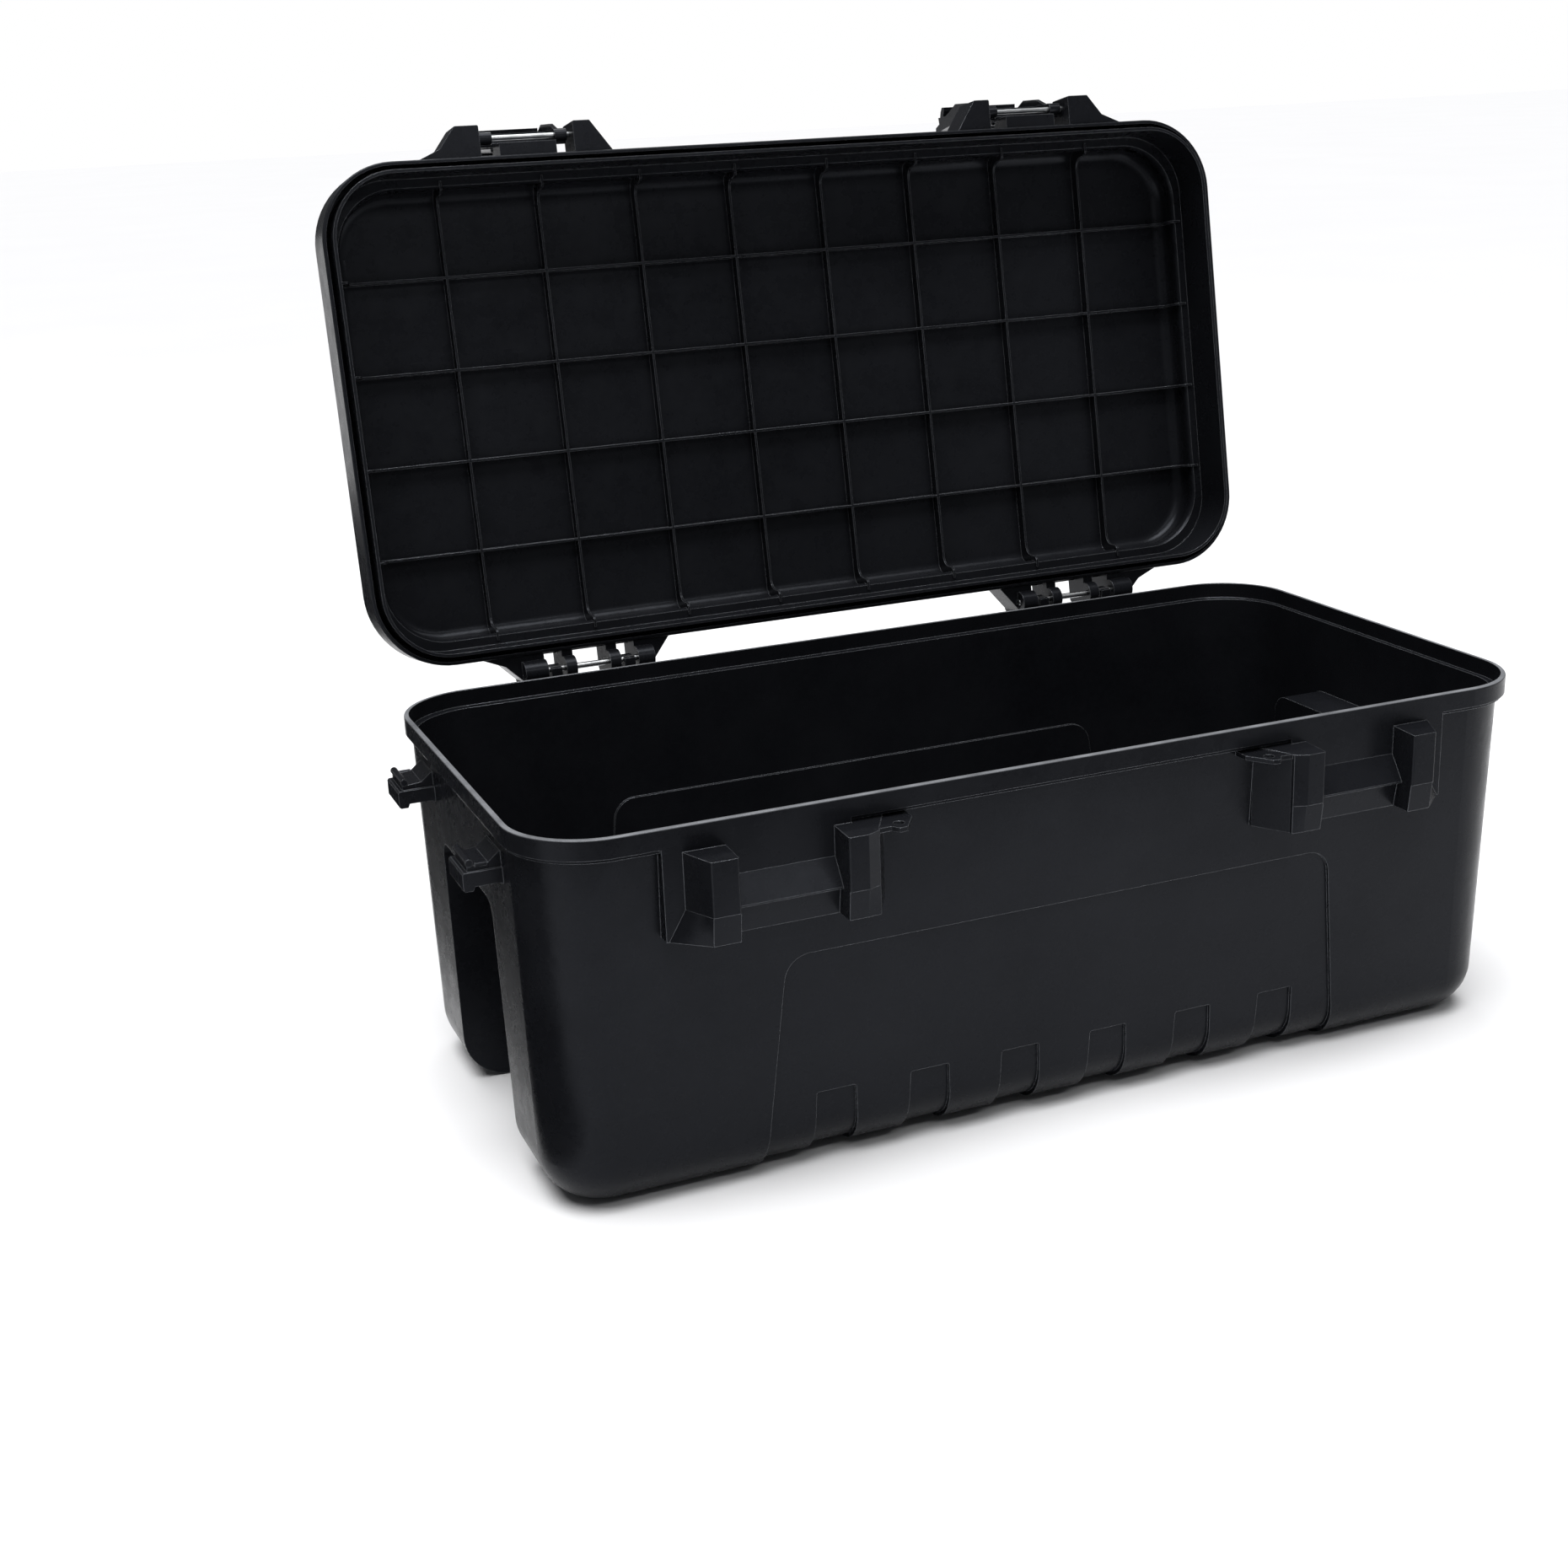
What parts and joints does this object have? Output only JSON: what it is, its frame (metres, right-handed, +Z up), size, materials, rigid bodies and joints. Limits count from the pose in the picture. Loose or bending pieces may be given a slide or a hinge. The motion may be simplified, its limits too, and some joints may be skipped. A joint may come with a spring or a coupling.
{
  "type": "storage trunk",
  "caption": "Long moulded storage trunk with a tapered tub, a ribbed lift-off lid on a rear rod hinge and pull-down front latches, shown open with its latches swung out",
  "frame": {"origin": "centre of the tub's underside", "axes": "+X along the length, to the right of a person at the front; -Y towards the front with the latches; +Z up"},
  "size_m": [1.004, 0.7376, 0.8457],
  "materials": {
    "tub_plastic": "fine moulded grain, satin black",
    "lid_plastic": "fine moulded grain, satin black",
    "latch_plastic": "smoother satin black",
    "pin_steel": "drawn bright steel"
  },
  "bodies": {
    "tub": {"tub_shell": "tub_plastic"},
    "hinge_rods": {"hinge_rod_left": "pin_steel", "hinge_rod_right": "pin_steel"},
    "lid": {"lid_shell": "lid_plastic", "latch_pin_left": "pin_steel", "latch_pin_right": "pin_steel"},
    "front_latch_left": {"latch_left": "latch_plastic"},
    "front_latch_right": {"latch_right": "latch_plastic"}
  },
  "joints": [
    {"name": "lid_lift", "type": "slide", "parent": "tub", "child": "hinge_rods", "axis": [0, 0, 1], "range_m": [0, 0.25]},
    {"name": "lid_hinge", "type": "hinge", "parent": "hinge_rods", "child": "lid", "pos_m": [0, 0.252, 0.338], "axis": [-1, 0, 0], "range_deg": [-100, 0]},
    {"name": "front_latch_left_swing", "type": "hinge", "parent": "lid", "child": "front_latch_left", "pos_m": [-0.269, 0.35956, 0.83284], "axis": [-1, 0, 0], "range_deg": [-172, 0]},
    {"name": "front_latch_right_swing", "type": "hinge", "parent": "lid", "child": "front_latch_right", "pos_m": [0.269, 0.35956, 0.83284], "axis": [-1, 0, 0], "range_deg": [-172, 0]}
  ]
}
